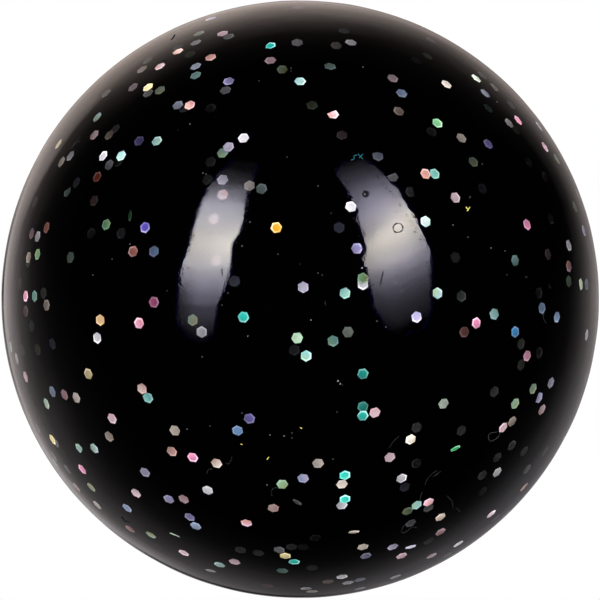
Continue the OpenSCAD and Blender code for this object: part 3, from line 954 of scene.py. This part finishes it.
# %% Lay the lint
lint_px = (((497, 432), (489, 434), (490, 441), (497, 438), (503, 428), (508, 422)),
           ((207, 473), (208, 470), (212, 469)), ((226, 463), (229, 464), (231, 460), (232, 457)),
           ((272, 496), (271, 492), (274, 488), (277, 488)), ((399, 436), (393, 442), (389, 448)),
           ((325, 300), (326, 306)), ((437, 470), (428, 478), (425, 485)),
           ((441, 471), (433, 477)), ((422, 492), (420, 499), (419, 504)),
           ((408, 524), (403, 527), (402, 533), (407, 531), (412, 527), (417, 528)),
           ((545, 309), (543, 317), (546, 323)), ((447, 496), (452, 501), (453, 508)),
           ((457, 508), (460, 512)), ((549, 285), (551, 289)), ((70, 150), (76, 141), (80, 137)),
           ((337, 379), (341, 383), (343, 386)))
scrap_px = (((267, 459.5), (269, 457)), ((300, 427.5), (302, 428.5)), ((240.5, 444), (242.5, 444.5)),
            ((466, 207), (468, 210), (467, 211)), ((468, 210), (470, 207)))
teal_px = (((351, 160), (354, 159), (354, 156), (357, 155)), ((358, 154), (361, 157), (363, 159)),
           ((359, 158), (362, 155), (363, 154)))
loop_radius, lint_radius, scrap_radius, teal_radius = 0.011 * MM, 0.007 * MM, 0.04 * MM, 0.02 * MM


def lay(name, lines, radii, finish):
    """Lays threads along lines of pixels, as one piece."""
    mesh = bmesh.new()
    for points, radius in zip(lines, radii):
        add_thread(mesh, curve_through(points), radius)
    new_piece(name, mesh, finish)


lay("lint", lint_px, [loop_radius] + [lint_radius] * (len(lint_px) - 1), grey_lint)
lay("yellow_scraps", scrap_px, [scrap_radius] * len(scrap_px), yellow_scrap)
lay("teal_lint", teal_px, [teal_radius] * len(teal_px), teal_lint)
print("threads of lint and scraps:", len(lint_px) + len(scrap_px) + len(teal_px))

# %% Nick the surface
nick_px = ((210, 232, 1.0), (234, 230, 0.8), (232, 198, 0.8), (222, 202, 0.7), (188, 268, 1.1),
           (191, 272, 0.6), (350, 181, 1.2), (384, 183, 1.2), (396, 211, 0.7), (378, 235, 0.9),
           (212, 207, 0.6), (374, 224, 0.5), (404, 234, 0.5), (398, 221, 0.5), (361, 244, 1.0),
           (218, 213, 0.5), (204, 255, 0.5), (226, 226, 0.5), (390, 240, 0.5), (410, 250, 0.6),
           (385, 255, 0.5), (372, 262, 0.5), (400, 262, 0.5), (195, 285, 0.5), (207, 290, 0.5))
scratch_px = (((383.5, 271), (382, 277), (381, 284)), ((222, 268), (221.5, 271), (223, 275)),
              ((359, 222), (361, 230)), ((171.5, 39.5), (175, 35)), ((162, 60), (167, 60.5)),
              ((72, 148), (76, 143), (80, 141)), ((122, 517), (125, 521), (129, 522)))
nick_size, scratch_radius = 0.09 * MM, 0.06 * MM
mesh = bmesh.new()
for x, y, size in nick_px:
    add_chip(mesh, on_skin(x, y), nick_size * size, chance)
for points in scratch_px:
    add_thread(mesh, curve_through(points), scratch_radius)


# %% Mark the rings
def add_ring(centre, radius, corners, width, start=0.0, share=1.0):
    """Adds a ring of corners round a pixel, or an arc that is a share of it."""
    turns = [start + share * k * 2 * math.pi / corners for k in range(corners + 1)]
    spots = [(centre[0] + radius * math.cos(t), centre[1] + radius * math.sin(t)) for t in turns]
    add_thread(mesh, curve_through(spots, 2 if corners > 6 else 1), width)


# Painted shade: a dark ring round a pit in the skin, heavier on one side, and a dark hexagonal ring that
# draws the outline of the dim flake under the right mirror image.
painted_pit_shade_px, painted_flake_outline_px = (365.2, 194), (398, 227.8)
add_ring(painted_pit_shade_px, 2.4, 10, 0.11 * MM, -2.2, 0.6)
add_ring(painted_pit_shade_px, 2.4, 10, 0.06 * MM)
add_ring(painted_flake_outline_px, 5.2, 6, 0.05 * MM)

# %% [markdown]
# The edges of the two mirror images look frayed. Short dark threads, painted shade that breaks up the
# edges of the mirrored softboxes, are strewn along each edge by a seeded rule, but not over the bright
# flake that lies beside the right one.

# %% Fray the edges of the mirror images with painted shade
painted_fray_px = (((210, 190), (200, 210), (195, 225), (190, 240), (187, 250), (182, 270), (180, 290), (181, 325)),
           ((248, 190), (246, 210), (242, 225), (236, 240), (230, 252), (229, 270), (223, 290), (216, 312)),
           ((337, 175), (346, 185), (351, 205), (355, 225), (362, 245), (365, 265), (371, 285), (376, 303)),
           ((376, 175), (392, 195), (407, 215), (418, 235), (426, 255), (428, 275), (429, 295)))
painted_fray_count, painted_fray_reach = 60, 1.0
bright_flake_px, bright_flake_reach = (350, 206), 8
for line in painted_fray_px:
    for _ in range(painted_fray_count):
        i = chance.randrange(len(line) - 1)
        t = chance.random()
        x, y = (a + (b - a) * t + chance.gauss(0, painted_fray_reach) for a, b in zip(line[i], line[i + 1]))
        if math.dist((x, y), bright_flake_px) < bright_flake_reach:
            continue
        along, reach = chance.uniform(-0.6, 0.6), chance.uniform(0.6, 2.0)
        tip = (x + reach * math.cos(along), y + reach * math.sin(along))
        add_thread(mesh, curve_through(((x, y), tip), 1), chance.uniform(0.02, 0.05) * MM, 4)
# One piece holds the dark nicks and scratches and the painted shade of the rings and the frayed edges.
new_piece("dark_nicks_and_painted_shade", mesh, nick_and_painted_shade_finish)
print("nicks and scratches:", len(nick_px) + len(scratch_px))
